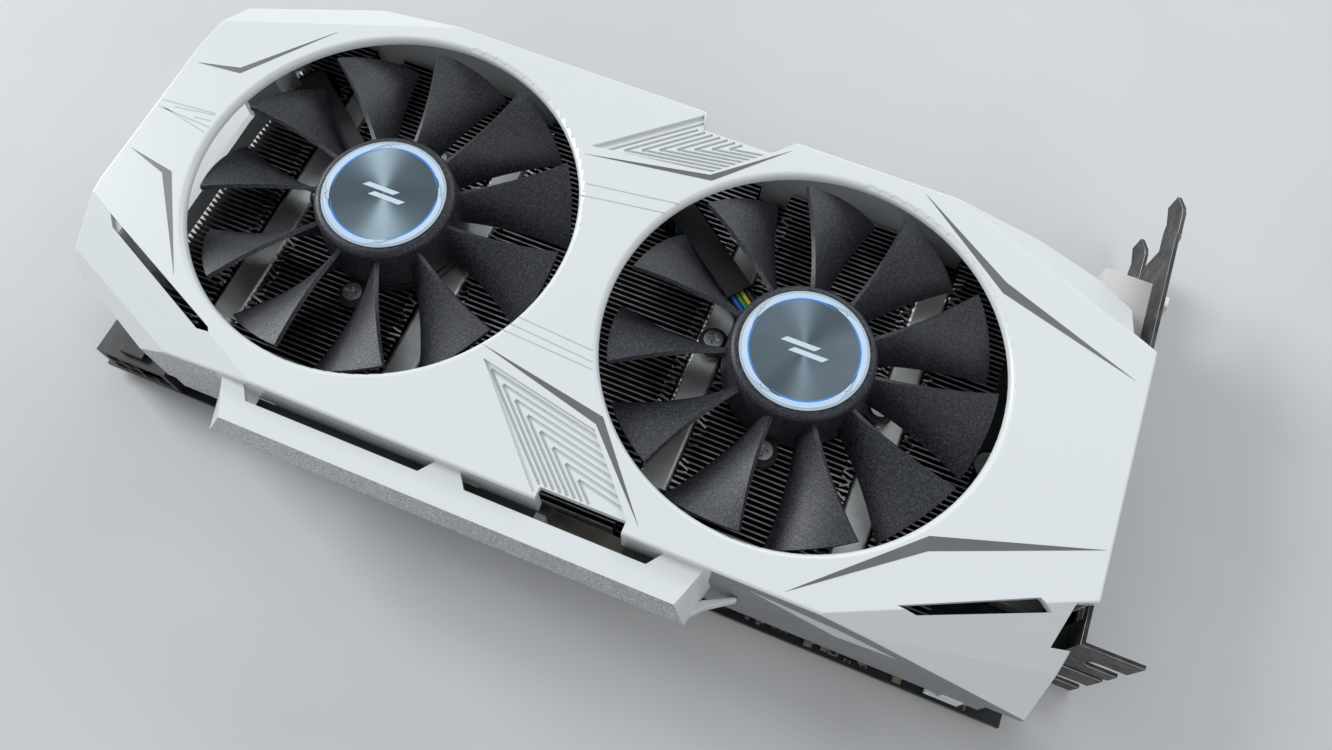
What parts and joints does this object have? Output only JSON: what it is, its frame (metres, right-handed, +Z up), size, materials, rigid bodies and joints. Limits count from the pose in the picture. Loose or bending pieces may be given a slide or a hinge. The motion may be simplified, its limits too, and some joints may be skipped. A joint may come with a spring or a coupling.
{
  "type": "graphics card",
  "caption": "Dual-fan computer graphics card: faceted white shroud over a finned heat-pipe cooler and circuit board, with a two-slot socket bracket.",
  "frame": {"origin": "centre of the bottom of the whole card's box, on the surface that the card rests on", "axes": "+X from the free end to the socket bracket, +Y from the power side to the edge connector, +Z up out of the fans"},
  "size_m": [0.2544, 0.1452, 0.042],
  "materials": {
    "shroud_white": "satin white moulding",
    "fan_black": "textured charcoal",
    "label_metal": "radially brushed",
    "steel": "plated",
    "ferrite": "sintered",
    "frame_black": "matt",
    "brass": "sintered sleeve",
    "board_black": "solder mask",
    "copper": "bare copper",
    "wire": "insulated wire",
    "socket_white": "moulded",
    "fin_aluminium": "darkened",
    "nickel": "nickel plated",
    "steel_black": "black coat",
    "gold": "gold flash",
    "substrate_green": "laminate",
    "silicon": "polished",
    "chip_black": "epoxy",
    "pad_grey": "silicone",
    "choke_grey": "pressed powder",
    "capacitor_can": "satin can",
    "heatsink_black": "anodised",
    "connector_black": "moulded",
    "bracket_steel": "black coat worn at the edges"
  },
  "bodies": {
    "card": {"base_plate": "copper", "bracket_screws": "steel", "capacitors": "capacitor_can", "chokes": "choke_grey", "cooler_springs": "steel", "displayport_connector": "nickel", "driver_board_left": "board_black", "driver_board_right": "board_black", "dvi_housing": "socket_white", "dvi_shells": "nickel", "dvi_standoffs": "nickel", "edge_contacts": "gold", "fan_cable_left": "wire", "fan_cable_right": "wire", "fan_frame_left": "frame_black", "fan_frame_right": "frame_black", "fan_mount_pads_left": "steel", "fan_mount_pads_right": "steel", "fan_plug_left": "socket_white", "fan_plug_right": "socket_white", "fan_screws_left": "steel", "fan_screws_right": "steel", "gpu_die": "silicon", "gpu_package": "substrate_green", "hdmi_connector": "nickel", "heat_pipe_1": "nickel", "heat_pipe_2": "nickel", "heat_pipe_3": "nickel", "heat_pipe_4": "nickel", "heatsink_fins": "fin_aluminium", "io_bracket": "bracket_steel", "memory_chips": "chip_black", "mosfets": "chip_black", "pcb": "board_black", "power_connector": "connector_black", "power_pins": "gold", "retention_plate": "steel_black", "shaft_bearing_left": "brass", "shaft_bearing_right": "brass", "shroud": "shroud_white", "shroud_screws": "steel", "spring_screws": "steel", "stator_coils_left": "copper", "stator_coils_right": "copper", "stator_core_left": "steel", "stator_core_right": "steel", "thermal_pads": "pad_grey", "vrm_heatsink": "heatsink_black"},
    "fan_left": {"fan_rotor_left": "fan_black", "hub_label_left": "label_metal", "rotor_yoke_left": "steel", "magnet_ring_left": "ferrite", "rotor_shaft_left": "steel"},
    "fan_right": {"fan_rotor_right": "fan_black", "hub_label_right": "label_metal", "rotor_yoke_right": "steel", "magnet_ring_right": "ferrite", "rotor_shaft_right": "steel"}
  },
  "joints": [
    {"name": "fan_spin_left", "type": "hinge", "parent": "card", "child": "fan_left", "pos_m": [-0.06392, -0.0087, 0.035], "axis": [0, 0, 1], "continuous": true},
    {"name": "fan_spin_right", "type": "hinge", "parent": "card", "child": "fan_right", "pos_m": [0.04097, -0.0087, 0.035], "axis": [0, 0, 1], "continuous": true}
  ]
}
